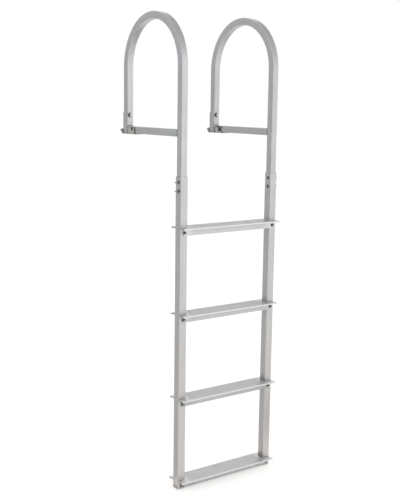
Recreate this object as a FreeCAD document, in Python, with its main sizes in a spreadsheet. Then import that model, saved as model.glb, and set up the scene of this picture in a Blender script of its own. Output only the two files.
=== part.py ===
import FreeCAD, Part
import math
import os
import Sketcher
from FreeCAD import Vector

# Dock ladder: two square-tube stiles with four treads, two handrail hoops that slide
# into the stile tops, and two hinged feet on the dock. Lengths are in millimetres.
# X runs along the ladder's width, Y from the water to the dock, Z up.
# The origin is on the underside of the left hinge base, below the middle of the hoop's
# short leg, so the deck is the plane Z = 0 and the stiles hang at Y = -hoop_depth.

doc = FreeCAD.newDocument("dock_ladder")

# Driving dimensions
SIZES = (
    ("side_spacing", 392.0, "left side to right side, centre to centre"),
    ("stile_side", 30.0, "outside of the square stile tube"),
    ("stile_wall", 2.0, "wall of the stile tube"),
    ("telescope_gap", 0.3, "gap each side between the hoop tube and the stile's bore"),
    ("hoop_wall", 2.0, "wall of the hoop tube and the deck bar"),
    ("tube_bevel", 1.0, "bevel on the outside corners of every square tube"),
    ("stile_top_drop", 130.5, "top of the stile tube below the deck"),
    ("foot_drop", 27.5, "end of the stile tube below the top of the lowest tread"),
    ("hoop_depth", 350.0, "hoop's short leg to its long leg, centre to centre"),
    ("hoop_straight", 237.5, "height of the hoop's straight legs above the deck"),
    ("hoop_insertion", 80.0, "length of the hoop tube inside the stile"),
    ("splice_bolt_drop", 19.0, "upper splice bolt below the stile's top"),
    ("splice_bolt_spacing", 31.0, "between the two splice bolts"),
    ("splice_hole", 6.4, "hole for a splice bolt"),
    ("first_tread", 305.0, "top of the first tread below the deck"),
    ("tread_pitch", 305.0, "tread to tread"),
    ("tread_depth", 80.0, "tread, front edge to back edge"),
    ("tread_plate", 3.5, "thickness of the tread's top plate"),
    ("tread_lip_height", 5.5, "height of the lip along each long edge of the tread"),
    ("tread_lip_width", 3.0, "width of that lip"),
    ("tread_edge_bevel", 1.0, "bevel along the top of the tread's long edges"),
    ("tread_rib_depth", 27.5, "bottom of a tread's ribs below its top"),
    ("tread_rib", 3.0, "thickness of a tread's rib"),
    ("tread_fit", 0.25, "gap between a tread and the stile"),
    ("tread_rib_reach", 18.0, "rib's reach across the stile's face"),
    ("tread_screw_inset", 13.0, "tread screw from the stile's inner face"),
    ("tread_screw_drop", 16.5, "tread screw below the tread's top"),
    ("tread_hole", 6.4, "hole for a tread's self-drilling screw, in the front rib"),
    ("groove_pitch", 5.0, "between the grooves on the tread's top"),
    ("groove_width", 2.0, "width of a groove"),
    ("groove_depth", 0.9, "depth of a groove"),
    ("plug_flange", 4.0, "thickness of the foot plug's flange"),
    ("plug_stub", 18.0, "length of the plug inside the stile"),
    ("plug_fit", 0.2, "gap between the plug and the stile's bore"),
    ("plug_inset", 0.4, "plug's flange inside the stile's outline"),
    ("plug_bevel", 1.5, "bevel around the plug's lower edge"),
    ("base_thickness", 2.5, "thickness of the hinge base's plate"),
    ("base_front", 72.0, "front end of the base from the leg's centre"),
    ("base_back", 22.0, "back end of the base from the leg's centre"),
    ("seat_gap", 0.3, "between the base plate and the bar that rests on it"),
    ("ear_gap", 1.0, "between the deck bar and each ear"),
    ("ear_thickness", 2.0, "thickness of an ear"),
    ("ear_front", 66.0, "front end of the ears from the leg's centre"),
    ("ear_back", 22.0, "back end of the ears from the leg's centre"),
    ("ear_top", 25.0, "top of the ears above the deck"),
    ("ear_bevel", 5.0, "bevel on the ears' upper corners"),
    ("lock_hole", 8.4, "hole for a lock pin through the outer ear and the bar's wall"),
    ("lock_hole_front", 50.0, "lock hole from the leg's centre"),
    ("lock_hole_height", 19.3, "lock hole above the deck"),
    ("window_front", 63.0, "front of the bar's window for the pin's clip, from the leg's centre"),
    ("window_back", 45.0, "back of that window and of the inner ear's hook"),
    ("window_bottom", 7.0, "bottom of the window and the hook above the deck"),
    ("window_top", 20.0, "top of the window and the hook above the deck"),
    ("window_bevel", 2.0, "bevel on the corners of the window and the hook"),
    ("hinge_back", 27.0, "hinge pin behind the leg's centre"),
    ("hinge_height", 12.5, "hinge pin above the deck"),
    ("knuckle_side", 12.5, "outside diameter of the hinge knuckles"),
    ("knuckle_width", 9.0, "width of the middle knuckle, which is the leaf's"),
    ("knuckle_gap", 0.3, "gap each side of the middle knuckle"),
    ("pin_side", 6.0, "diameter of the hinge pin"),
    ("pin_fit", 0.06, "gap all round between the pin and its knuckles"),
    ("pin_head_side", 10.0, "pin's hexagonal head, across flats"),
    ("pin_head", 2.5, "thickness of the pin's head"),
    ("pin_tail", 1.5, "pin's plain end beyond the knuckle"),
    ("leaf_thickness", 3.0, "thickness of the hinge leaf on the leg"),
    ("leaf_top", 78.5, "top of the leaf above the deck"),
    ("leaf_bottom", 6.5, "bottom of the leaf above the deck"),
    ("leaf_bolt_height", 68.0, "leaf bolt above the deck"),
    ("leaf_hole", 10.0, "hole for the leaf bolt"),
    ("screw_hole", 5.5, "deck screw's hole in the base"),
    ("screw_sink", 2.0, "depth and width of the countersink"),
    ("screw_front", 62.0, "front deck screw from the leg's centre"),
    ("screw_back", 6.0, "back deck screw from the leg's centre"),
)

# Numbers without a cell: a count, two angles, a tolerance on places and the least volume of a cut
TREADS = 4
QUARTER_TURN = math.pi / 2
WEB_TURN = math.radians(30)
CLOSE = 0.01
LEAST_CUT = 1.0

sheet = doc.addObject("Spreadsheet::Sheet", "sizes")
for row, (alias, value, meaning) in enumerate(SIZES, start=1):
    sheet.set("A%d" % row, meaning)
    sheet.set("B%d" % row, str(value))
    sheet.setAlias("B%d" % row, alias)
doc.recompute()


class Length:
    """A number, with the formula of driving dimensions that gives it."""

    def __init__(self, number, text=None):
        self.number = number
        self.text = str(number) if text is None else text

    def combine(self, sign, other, number):
        return Length(number, "(%s %s %s)" % (self.text, sign, other.text))

    def __add__(self, other):
        other = as_length(other)
        return self.combine("+", other, self.number + other.number)

    def __sub__(self, other):
        other = as_length(other)
        return self.combine("-", other, self.number - other.number)

    def __mul__(self, other):
        other = as_length(other)
        return self.combine("*", other, self.number * other.number)

    def __truediv__(self, other):
        other = as_length(other)
        return self.combine("/", other, self.number / other.number)

    def __neg__(self):
        return as_length(-1) * self

    def __rmul__(self, other):
        return as_length(other) * self


def as_length(value):
    """A plain number as a length, and a length as it is."""
    return value if isinstance(value, Length) else Length(value)


def driving(alias):
    """The driving dimension in the sheet's cell of this name."""
    return Length(float(sheet.get(alias)), "sizes." + alias)


(side_spacing, stile_side, stile_wall, telescope_gap, hoop_wall, tube_bevel, stile_top_drop, foot_drop,
 hoop_depth, hoop_straight, hoop_insertion, splice_bolt_drop, splice_bolt_spacing, splice_hole,
 first_tread, tread_pitch, tread_depth, tread_plate, tread_lip_height, tread_lip_width, tread_edge_bevel,
 tread_rib_depth, tread_rib, tread_fit, tread_rib_reach, tread_screw_inset, tread_screw_drop, tread_hole,
 groove_pitch, groove_width, groove_depth, plug_flange, plug_stub, plug_fit, plug_inset, plug_bevel,
 base_thickness, base_front, base_back, seat_gap, ear_gap, ear_thickness, ear_front, ear_back, ear_top,
 ear_bevel, lock_hole, lock_hole_front, lock_hole_height, window_front, window_back, window_bottom,
 window_top, window_bevel, hinge_back, hinge_height, knuckle_side, knuckle_width, knuckle_gap, pin_side,
 pin_fit, pin_head_side, pin_head, pin_tail, leaf_thickness, leaf_top, leaf_bottom, leaf_bolt_height,
 leaf_hole, screw_hole, screw_sink, screw_front, screw_back) = (
    driving(alias) for alias, value, meaning in SIZES)

# Sizes that follow from the driving ones
zero = as_length(0)
stile_bore = stile_side - 2 * stile_wall
hoop_side = stile_bore - 2 * telescope_gap
hoop_bore = hoop_side - 2 * hoop_wall
seat = base_thickness + seat_gap
bar_height = seat + hoop_side / 2
stile_end = -(first_tread + (TREADS - 1) * tread_pitch + foot_drop)
stile_length = -stile_top_drop - stile_end
leaf_back = hoop_side / 2 + leaf_thickness
tread_slot = stile_side / 2 + tread_fit
rib_outside = tread_slot + tread_rib
rib_span = 2 * rib_outside + tread_rib
tread_end = (side_spacing + stile_side) / 2
stile_inside = (side_spacing - stile_side) / 2
bore_side = pin_side + 2 * pin_fit
knuckle_radius = knuckle_side / 2
leaf_slot = knuckle_width + 2 * knuckle_gap
ear_slot = hoop_side + 2 * ear_gap
base_width = ear_slot + 2 * ear_thickness
SIDES = (("left", zero, -1), ("right", side_spacing, 1))


def bind(item, prop, length):
    """Tie a property to a length's formula."""
    item.setExpression(prop, length.text)


def new_body(label, across=zero, along=zero, up=zero):
    """A body whose own origin stands at three lengths."""
    item = doc.addObject("PartDesign::Body", label)
    item.Label = label
    for axis, length in (("x", across), ("y", along), ("z", up)):
        bind(item, ".Placement.Base." + axis, length)
    return item


def origin_feature(item, role):
    """The body's own origin plane or axis with this role."""
    return next(part for part in item.Origin.OriginFeatures if part.Role == role)


def new_sketch(item, name, plane, along=zero, up=zero):
    """A sketch on one of the body's origin planes, moved along and off that plane."""
    sketch = item.newObject("Sketcher::SketchObject", name)
    sketch.AttachmentSupport = (origin_feature(item, plane), [""])
    sketch.MapMode = "FlatFace"
    for axis, length in (("y", along), ("z", up)):
        if length is not zero:
            bind(sketch, ".AttachmentOffset.Base." + axis, length)
    return sketch


def fix(sketch, kind, first, second, length):
    """A signed distance from one point to another, tied to a length."""
    number = sketch.addConstraint(Sketcher.Constraint(kind, *first, *second, length.number))
    bind(sketch, "Constraints[%d]" % number, length)


def outline(sketch, points):
    """A closed outline of straight edges through points given as pairs of lengths."""
    first = sketch.GeometryCount
    corners = [Vector(across.number, up.number, 0) for across, up in points]
    for begin, end in zip(corners, corners[1:] + corners[:1]):
        sketch.addGeometry(Part.LineSegment(begin, end), False)
    for turn, (across, up) in enumerate(points):
        after = first + (turn + 1) % len(points)
        sketch.addConstraint(Sketcher.Constraint("Coincident", first + turn, 2, after, 1))
    for turn, (across, up) in enumerate(points):
        fix(sketch, "DistanceX", (-1, 1), (first + turn, 1), across)
        fix(sketch, "DistanceY", (-1, 1), (first + turn, 1), up)


def rectangle(sketch, left, right, bottom, top):
    """A rectangle between two lengths each way."""
    outline(sketch, ((left, bottom), (right, bottom), (right, top), (left, top)))


def square(sketch, side):
    """A square about the sketch's origin."""
    rectangle(sketch, -side / 2, side / 2, -side / 2, side / 2)


def bevelled_square(sketch, side, bevel):
    """A square about the sketch's origin, with its corners cut off."""
    reach = side / 2
    corner = reach - bevel
    outline(sketch, (
        (-corner, -reach),
        (corner, -reach),
        (reach, -corner),
        (reach, corner),
        (corner, reach),
        (-corner, reach),
        (-reach, corner),
        (-reach, -corner),
    ))


def hexagon(sketch, across_flats):
    """A hexagon about the sketch's origin, with a corner at the top."""
    reach = across_flats / 2
    corner = across_flats / math.sqrt(3)
    outline(sketch, (
        (zero, corner),
        (-reach, corner / 2),
        (-reach, -corner / 2),
        (zero, -corner),
        (reach, -corner / 2),
        (reach, corner / 2),
    ))


def circle(sketch, diameter, across=zero, up=zero):
    """A circle whose centre stands at two lengths."""
    centre = Vector(across.number, up.number, 0)
    index = sketch.addGeometry(Part.Circle(centre, Vector(0, 0, 1), diameter.number / 2), False)
    number = sketch.addConstraint(Sketcher.Constraint("Diameter", index, diameter.number))
    bind(sketch, "Constraints[%d]" % number, diameter)
    fix(sketch, "DistanceX", (-1, 1), (index, 3), across)
    fix(sketch, "DistanceY", (-1, 1), (index, 3), up)


def pad(item, name, sketch, length, both_ways=False, backward=False):
    """Grow the sketch by a length, to one side or half to each side."""
    feature = item.newObject("PartDesign::Pad", name)
    feature.Profile = sketch
    feature.Midplane = both_ways
    feature.Reversed = backward
    bind(feature, "Length", length)
    doc.recompute()
    return feature


def cut(item, name, sketch, length):
    """Cut the sketch half of a length to each side, and see that it took material away."""
    before = item.Shape.Volume
    feature = item.newObject("PartDesign::Pocket", name)
    feature.Profile = sketch
    feature.Midplane = True
    bind(feature, "Length", length)
    doc.recompute()
    if item.Shape.Volume > before - LEAST_CUT:
        raise ValueError("%s took nothing from %s" % (name, item.Label))
    return feature


def repeat(item, name, feature, axis, length, count):
    """Repeat a feature in a row along one of the body's origin axes."""
    pattern = item.newObject("PartDesign::LinearPattern", name)
    pattern.Originals = [feature]
    pattern.Direction = (origin_feature(item, axis), [""])
    bind(pattern, "Length", length)
    pattern.Occurrences = count
    item.Tip = pattern
    doc.recompute()
    return pattern


def bevel(item, name, length, test):
    """Chamfer the body's edges that pass a test on their place in the body."""
    base = item.Tip
    shape = base.Shape
    names = ["Edge%d" % (turn + 1) for turn, edge in enumerate(shape.Edges) if test(edge)]
    feature = item.newObject("PartDesign::Chamfer", name)
    feature.Base = (base, names)
    bind(feature, "Size", length)
    item.Tip = feature
    doc.recompute()
    return feature


def near(number, length):
    """Whether a measured place is the one that a length gives."""
    return abs(number - length.number) < CLOSE


# Stiles: square tubes with the splice holes across them
def make_stile(side, across):
    item = new_body(side + "_stile", across, -hoop_depth, stile_end)
    section = new_sketch(item, side + "_stile_section", "XY_Plane")
    bevelled_square(section, stile_side, tube_bevel)
    square(section, stile_bore)
    pad(item, side + "_stile_tube", section, stile_length)
    splice = new_sketch(item, side + "_stile_splice", "YZ_Plane")
    upper = stile_length - splice_bolt_drop
    circle(splice, splice_hole, zero, upper)
    circle(splice, splice_hole, zero, upper - splice_bolt_spacing)
    cut(item, side + "_stile_splice_holes", splice, 2 * stile_side)


# Handrail hoops: one square tube swept along a long leg, a half circle and a short leg
def make_hoop(side, across):
    item = new_body(side + "_handrail_hoop", across)
    start = -stile_top_drop - hoop_insertion
    path = new_sketch(item, side + "_hoop_path", "YZ_Plane")
    ends = ((-hoop_depth, start), (-hoop_depth, hoop_straight), (zero, hoop_straight), (zero, seat))
    low, spring, other_spring, foot = (Vector(along.number, up.number, 0) for along, up in ends)
    bend = Part.Circle((spring + other_spring) / 2, Vector(0, 0, 1), hoop_depth.number / 2)
    path.addGeometry(Part.LineSegment(low, spring), False)
    path.addGeometry(Part.ArcOfCircle(bend, 0, 2 * QUARTER_TURN), False)
    path.addGeometry(Part.LineSegment(other_spring, foot), False)
    for constraint in (("Vertical", 0), ("Vertical", 2), ("Tangent", 0, 2, 1, 2), ("Tangent", 2, 1, 1, 1)):
        path.addConstraint(Sketcher.Constraint(*constraint))
    fix(path, "DistanceX", (-1, 1), (0, 1), -hoop_depth)
    fix(path, "DistanceY", (-1, 1), (0, 1), start)
    fix(path, "DistanceX", (-1, 1), (2, 2), zero)
    fix(path, "DistanceY", (-1, 1), (2, 2), seat)
    fix(path, "DistanceY", (-1, 1), (2, 1), hoop_straight)
    section = new_sketch(item, side + "_hoop_section", "XY_Plane", -hoop_depth, start)
    bevelled_square(section, hoop_side, tube_bevel)
    square(section, hoop_bore)
    doc.recompute()
    pipe = item.newObject("PartDesign::AdditivePipe", side + "_hoop_tube")
    pipe.Profile = section
    pipe.Spine = path
    doc.recompute()
    splice = new_sketch(item, side + "_hoop_splice", "YZ_Plane")
    upper = -stile_top_drop - splice_bolt_drop
    circle(splice, splice_hole, -hoop_depth, upper)
    circle(splice, splice_hole, -hoop_depth, upper - splice_bolt_spacing)
    cut(item, side + "_hoop_splice_holes", splice, 2 * hoop_side)
    bolt = new_sketch(item, side + "_hoop_bolt", "XZ_Plane")
    circle(bolt, leaf_hole, zero, leaf_bolt_height)
    cut(item, side + "_hoop_bolt_hole", bolt, 2 * hoop_side)


# Deck bars: square tubes from the short leg to the long leg, level with the leg's end
def make_bar(side, across, outward):
    item = new_body(side + "_deck_bar", across, -hoop_side / 2, bar_height)
    section = new_sketch(item, side + "_bar_section", "XZ_Plane")
    bevelled_square(section, hoop_side, tube_bevel)
    square(section, hoop_bore)
    pad(item, side + "_bar_tube", section, hoop_depth - hoop_side)
    lock = new_sketch(item, side + "_bar_lock", "YZ_Plane", up=outward * hoop_side / 2)
    circle(lock, lock_hole, hoop_side / 2 - lock_hole_front, lock_hole_height - bar_height)
    cut(item, side + "_bar_lock_hole", lock, 3 * hoop_wall)
    window = new_sketch(item, side + "_bar_window_side", "YZ_Plane", up=-outward * hoop_side / 2)
    front, back = hoop_side / 2 - window_front, hoop_side / 2 - window_back
    rectangle(window, front, back, window_bottom - bar_height, window_top - bar_height)
    cut(item, side + "_bar_window", window, 3 * hoop_wall)
    bevel(item, side + "_bar_window_bevels", window_bevel,
          lambda edge: near(edge.Length, hoop_wall) and edge.CenterOfMass.y > front.number - CLOSE
          and near(abs(edge.CenterOfMass.x), (hoop_side - hoop_wall) / 2)
          and edge.CenterOfMass.y < back.number + CLOSE)


# Treads: a grooved extrusion with a lip on each long edge and two ribs that straddle the
# stiles, notched round the stile at each end, with the ribs cut back over its face
def make_tread(number):
    label = "tread_%d" % number
    drop = first_tread + (number - 1) * tread_pitch
    item = new_body(label, side_spacing / 2, -hoop_depth, -drop)
    profile = new_sketch(item, label + "_profile", "YZ_Plane")
    half = tread_depth / 2
    lip = half - tread_lip_width
    front_half = (
        (half, -tread_lip_height),
        (lip, -tread_lip_height),
        (lip, -tread_plate),
        (rib_outside, -tread_plate),
        (rib_outside, -tread_rib_depth),
        (tread_slot, -tread_rib_depth),
        (tread_slot, -tread_plate),
    )
    other_half = [(-along, up) for along, up in reversed(front_half)]
    outline(profile, [(half, zero), *front_half, *other_half, (-half, zero)])
    pad(item, label + "_extrusion", profile, 2 * tread_end, both_ways=True)
    bevel(item, label + "_edge_bevels", tread_edge_bevel,
          lambda edge: near(abs(edge.CenterOfMass.y), half) and near(edge.CenterOfMass.z, zero)
          and near(edge.CenterOfMass.x, zero))
    notch = new_sketch(item, label + "_notch", "XY_Plane")
    beyond = tread_end + stile_side
    inner = stile_inside - tread_fit
    rectangle(notch, inner, beyond, -tread_slot, tread_slot)
    rectangle(notch, -beyond, -inner, -tread_slot, tread_slot)
    cut(item, label + "_notches", notch, 3 * tread_rib_depth)
    trim = new_sketch(item, label + "_trim", "XZ_Plane")
    rib_end = stile_inside + tread_rib_reach
    rectangle(trim, rib_end, beyond, -2 * tread_rib_depth, -tread_plate)
    rectangle(trim, -beyond, -rib_end, -2 * tread_rib_depth, -tread_plate)
    cut(item, label + "_rib_ends", trim, rib_span)
    screws = new_sketch(item, label + "_screws", "XZ_Plane", up=tread_slot + tread_rib / 2)
    for outward in (-1, 1):
        circle(screws, tread_hole, outward * (stile_inside + tread_screw_inset), -tread_screw_drop)
    cut(item, label + "_screw_holes", screws, 2 * tread_rib)
    groove = new_sketch(item, label + "_groove", "YZ_Plane")
    free = tread_depth - 2 * tread_lip_width - groove_width
    grooves = int(free.number // groove_pitch.number) + 1
    reach = (grooves - 1) * groove_pitch / 2
    rectangle(groove, -reach - groove_width / 2, groove_width / 2 - reach, -groove_depth, groove_depth)
    first = cut(item, label + "_first_groove", groove, 4 * tread_end)
    repeat(item, label + "_grooves", first, "Y_Axis", (grooves - 1) * groove_pitch, grooves)


# Foot plugs: a bevelled flange under the stile's end, with a stub inside its bore
def make_plug(side, across):
    item = new_body(side + "_foot_plug", across, -hoop_depth, stile_end)
    flange = new_sketch(item, side + "_plug_flange_outline", "XY_Plane")
    square(flange, stile_side - 2 * plug_inset)
    pad(item, side + "_plug_flange", flange, plug_flange, backward=True)
    bevel(item, side + "_plug_bevel", plug_bevel,
          lambda edge: near(edge.CenterOfMass.z, -plug_flange))
    stub = new_sketch(item, side + "_plug_stub_outline", "XY_Plane")
    square(stub, stile_bore - 2 * plug_fit)
    pad(item, side + "_plug_stub", stub, plug_stub)


# Hinge leaves: a plate bolted to the back of the short leg, with the middle knuckle
def make_leaf(side, across):
    item = new_body(side + "_leg_leaf", across)
    plate = new_sketch(item, side + "_leaf_side", "YZ_Plane")
    rectangle(plate, hoop_side / 2, leaf_back, leaf_bottom, leaf_top)
    pad(item, side + "_leaf_plate", plate, hoop_side, both_ways=True)
    web = new_sketch(item, side + "_leaf_web_side", "YZ_Plane")
    rectangle(web, leaf_back - leaf_thickness / 2, hinge_back,
              hinge_height - leaf_thickness, hinge_height + knuckle_radius)
    pad(item, side + "_leaf_web", web, knuckle_width, both_ways=True)
    barrel = new_sketch(item, side + "_leaf_barrel_end", "YZ_Plane")
    circle(barrel, knuckle_side, hinge_back, hinge_height)
    pad(item, side + "_leaf_barrel", barrel, knuckle_width, both_ways=True)
    bore = new_sketch(item, side + "_leaf_bore_end", "YZ_Plane")
    circle(bore, bore_side, hinge_back, hinge_height)
    cut(item, side + "_leaf_bore", bore, 2 * knuckle_width)
    bolt = new_sketch(item, side + "_leaf_bolt", "XZ_Plane")
    circle(bolt, leaf_hole, zero, leaf_bolt_height)
    cut(item, side + "_leaf_bolt_hole", bolt, 4 * hoop_side)


# Hinge bases: a deck plate with two ears beside the bar and two knuckles at the back. The
# outer ear has the lock pin's hole, and the inner one is a hook that clears the pin's clip
def make_base(side, across, outward):
    item = new_body(side + "_deck_base", across)
    plan = new_sketch(item, side + "_base_plan", "XY_Plane")
    rectangle(plan, -base_width / 2, base_width / 2, -base_front, base_back)
    pad(item, side + "_base_plate", plan, base_thickness)
    ears = new_sketch(item, side + "_ear_side", "YZ_Plane")
    rectangle(ears, -ear_front, -ear_back, base_thickness / 2, ear_top)
    pad(item, side + "_ears", ears, base_width, both_ways=True)
    bevel(item, side + "_ear_bevels", ear_bevel,
          lambda edge: near(edge.CenterOfMass.z, ear_top) and near(edge.CenterOfMass.x, zero))
    slot = new_sketch(item, side + "_ear_slot_side", "YZ_Plane")
    rectangle(slot, -ear_front - base_thickness, base_thickness - ear_back, base_thickness, 2 * ear_top)
    cut(item, side + "_ear_slot", slot, ear_slot)
    lock = new_sketch(item, side + "_ear_lock", "YZ_Plane", up=outward * base_width / 2)
    circle(lock, lock_hole, -lock_hole_front, lock_hole_height)
    cut(item, side + "_ear_lock_hole", lock, 3 * ear_thickness)
    hook = new_sketch(item, side + "_ear_hook_side", "YZ_Plane", up=-outward * base_width / 2)
    rectangle(hook, -ear_front - base_thickness, -window_back, window_bottom, window_top)
    cut(item, side + "_ear_hook", hook, 3 * ear_thickness)
    bevel(item, side + "_ear_hook_bevels", window_bevel,
          lambda edge: near(edge.CenterOfMass.y, -window_back) and near(edge.Length, ear_thickness))
    barrel = new_sketch(item, side + "_base_barrel_end", "YZ_Plane")
    circle(barrel, knuckle_side, hinge_back, hinge_height)
    pad(item, side + "_base_barrel", barrel, hoop_side, both_ways=True)
    web = new_sketch(item, side + "_base_web_side", "YZ_Plane")
    outline(web, (
        (base_back - 2 * base_thickness, base_thickness / 2),
        (base_back, base_thickness / 2),
        (hinge_back + knuckle_radius * math.cos(WEB_TURN),
         hinge_height - knuckle_radius * math.sin(WEB_TURN)),
        (hinge_back, hinge_height),
        (hinge_back - knuckle_radius, hinge_height),
    ))
    pad(item, side + "_base_web", web, hoop_side, both_ways=True)
    room = new_sketch(item, side + "_knuckle_room_side", "YZ_Plane")
    rectangle(room, hinge_back - knuckle_side, hinge_back + knuckle_side,
              base_thickness, hinge_height + knuckle_side)
    cut(item, side + "_knuckle_room", room, leaf_slot)
    bore = new_sketch(item, side + "_base_bore_end", "YZ_Plane")
    circle(bore, bore_side, hinge_back, hinge_height)
    cut(item, side + "_base_bore", bore, 2 * base_width)
    screws = new_sketch(item, side + "_screws", "XY_Plane")
    for along in (-screw_front, screw_back):
        circle(screws, screw_hole, zero, along)
    cut(item, side + "_screw_holes", screws, 3 * base_thickness)
    bevel(item, side + "_screw_sinks", screw_sink,
          lambda edge: isinstance(edge.Curve, Part.Circle) and near(edge.Curve.Center.z, base_thickness)
          and near(edge.Curve.Radius, screw_hole / 2))


# Hinge pins: a shaft with a hexagonal head on the outer side
def make_pin(side, across, outward):
    item = new_body(side + "_hinge_pin", across, hinge_back, hinge_height)
    tail_end = hoop_side / 2 + pin_tail
    head_seat = hoop_side / 2 + pin_fit
    backward = outward < 0
    shaft = new_sketch(item, side + "_pin_shaft_end", "YZ_Plane", up=-outward * tail_end)
    circle(shaft, pin_side)
    pad(item, side + "_pin_shaft", shaft, tail_end + head_seat, backward=backward)
    head = new_sketch(item, side + "_pin_head_end", "YZ_Plane", up=outward * head_seat)
    hexagon(head, pin_head_side)
    pad(item, side + "_pin_head", head, pin_head, backward=backward)


for side, across, outward in SIDES:
    make_stile(side, across)
    make_hoop(side, across)
    make_bar(side, across, outward)
    make_plug(side, across)
    make_leaf(side, across)
    make_base(side, across, outward)
    make_pin(side, across, outward)
for number in range(1, TREADS + 1):
    make_tread(number)
doc.recompute()

# Check every object and write each piece to its own file
for item in doc.Objects:
    if "Invalid" in item.State or "Error" in item.State:
        raise ValueError("%s: %s" % (item.Label, item.State))
pieces = [item for item in doc.Objects if item.TypeId == "PartDesign::Body"]
for item in pieces:
    if item.Shape.isNull() or not item.Shape.isValid() or len(item.Shape.Solids) != 1:
        raise ValueError("%s has no single valid solid" % item.Label)
os.makedirs("parts", exist_ok=True)
for item in pieces:
    item.Shape.exportStep(os.path.join("parts", item.Label + ".step"))
    print("%-22s %9.0f mm3" % (item.Label, item.Shape.Volume))
print("%d pieces" % len(pieces))
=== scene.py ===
import math

import bmesh
import bpy
from mathutils import Matrix, Vector


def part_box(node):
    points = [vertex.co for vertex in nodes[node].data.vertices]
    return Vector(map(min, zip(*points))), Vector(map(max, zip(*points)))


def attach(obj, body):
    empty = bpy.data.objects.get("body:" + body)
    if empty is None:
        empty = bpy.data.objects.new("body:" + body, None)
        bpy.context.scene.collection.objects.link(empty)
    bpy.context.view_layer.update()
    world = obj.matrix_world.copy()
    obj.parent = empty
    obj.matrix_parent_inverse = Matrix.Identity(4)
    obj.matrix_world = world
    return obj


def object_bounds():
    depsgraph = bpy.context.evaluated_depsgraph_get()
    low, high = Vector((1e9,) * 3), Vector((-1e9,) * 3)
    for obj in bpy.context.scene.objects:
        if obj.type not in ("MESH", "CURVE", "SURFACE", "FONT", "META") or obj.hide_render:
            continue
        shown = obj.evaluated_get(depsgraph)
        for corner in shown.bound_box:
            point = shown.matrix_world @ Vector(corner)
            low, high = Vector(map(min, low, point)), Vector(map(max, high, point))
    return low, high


# Looks of the dock ladder, in metres and in the row's frame: X across the ladder, Y from
# the water to the dock, Z up, with the deck at Z = 0. Colours are linear.

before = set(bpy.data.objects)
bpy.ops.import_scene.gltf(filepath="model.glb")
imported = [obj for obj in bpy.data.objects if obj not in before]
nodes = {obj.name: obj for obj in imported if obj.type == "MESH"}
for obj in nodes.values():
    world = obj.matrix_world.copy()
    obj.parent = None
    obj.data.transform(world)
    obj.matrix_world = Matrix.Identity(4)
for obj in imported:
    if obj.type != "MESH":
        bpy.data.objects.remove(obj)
cad_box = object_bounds()
low_corner, high_corner = cad_box

SIDES = ("left", "right")
TREADS = 4
# The body that every new piece rides on
LADDER = "ladder"

# Places that come from the frame
stile_box = {side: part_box(side + "_stile") for side in SIDES}
hoop_box = {side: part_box(side + "_handrail_hoop") for side in SIDES}
bar_box = {side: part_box(side + "_deck_bar") for side in SIDES}
leaf_box = {side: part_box(side + "_leg_leaf") for side in SIDES}
tread_box = [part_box("tread_%d" % number) for number in range(1, TREADS + 1)]
top_tread, bottom_tread = tread_box[0], tread_box[-1]
tread_pitch = top_tread[1].z - tread_box[1][1].z
bar_middle = {side: (low + high) / 2 for side, (low, high) in bar_box.items()}
hoop_middle = bar_middle["left"].y
stile_middle = (stile_box["left"][0].y + stile_box["left"][1].y) / 2
hoop_half_depth = hoop_middle - hoop_box["left"][0].y
hoop_spring = hoop_box["left"][1].z - hoop_half_depth
ladder_middle = (low_corner.x + high_corner.x) / 2
half_spacing = bar_middle["right"].x - ladder_middle

# Fasteners: their places on the ladder
SPLICE_DROPS = (0.019, 0.050)
TREAD_SCREW_INSET = 0.013
TREAD_SCREW_DROP = 0.0165
TREAD_RIB_SEAT = 0.01825
LEAF_BOLT_HEIGHT = 0.068
LEAF_THICKNESS = 0.003

# Fasteners: their sizes, with heights from the face that they stand on. FLATS is the
# width across the flats of a hexagon, and an END is a threaded or plain bolt end
SPLICE_FLATS = 0.010
SPLICE_WASHER_HOLE = 0.0033
SPLICE_WASHER_RADIUS = 0.0060
SPLICE_FLANGE = 0.0010
SPLICE_HEAD_TOP = 0.0046
SPLICE_WASHER = 0.0012
SPLICE_NUT_TOP = 0.0062
SPLICE_END_RADIUS = 0.003
SPLICE_END_BOTTOM = 0.0050
SPLICE_END_TOP = 0.0132
SPLICE_THREAD_PITCH = 0.001
LEAF_FLATS = 0.0143
LEAF_NUT_TOP = 0.0083
LEAF_HEAD_TOP = 0.006
LEAF_END = (
    (0.0047, 0.0070),
    (0.0047, 0.0112),
    (0.0044, 0.0117),
    (0.0036, 0.0120),
    (0.0006, 0.0121),
)
SCREW_FLATS = 0.008
SCREW_WASHER_HOLE = 0.002
SCREW_WASHER_RADIUS = 0.0058
SCREW_WASHER = 0.0012
SCREW_HEAD_TOP = 0.0054

# Turned forms: corners in a round, the radius of a hexagon's flat top as a share of its
# width, the slope of its turned corners, the round of a washer's rim as a share of its
# thickness, a thread's depth as a share of its pitch, its bevelled tip in turns and in
# depths, and the angle from which an edge is sharp
ROUND_STEPS = 48
HEX_FLAT = 0.475
CHAMFER_SLOPE = math.tan(math.radians(30))
WASHER_ROUND = 0.25
THREAD_DEPTH = 0.55
THREAD_TIP_TURNS = 1.5
THREAD_TIP_DEPTHS = 1.5
SHARP_ANGLE = math.radians(28)

# Welds: the legs of a bead, how deep it sits, how high it stands and how far from a corner
# it stops, the length, rings and height of its ripples, how fast and from what share of its
# size its ends grow, and the steps and waist of its sections
WELD_SIZE = 0.0026
WELD_ROOT = 0.0002
WELD_CROWN = 0.0007
WELD_INSET = 0.0012
WELD_RIPPLE = 0.0015
WELD_RINGS = 5
WELD_SWELL = 0.1
WELD_TAPER = 6
WELD_TIP = 0.35
FILLET_STEPS = 6
FILLET_WAIST = 0.86
CROWN_STEPS = 8


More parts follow.
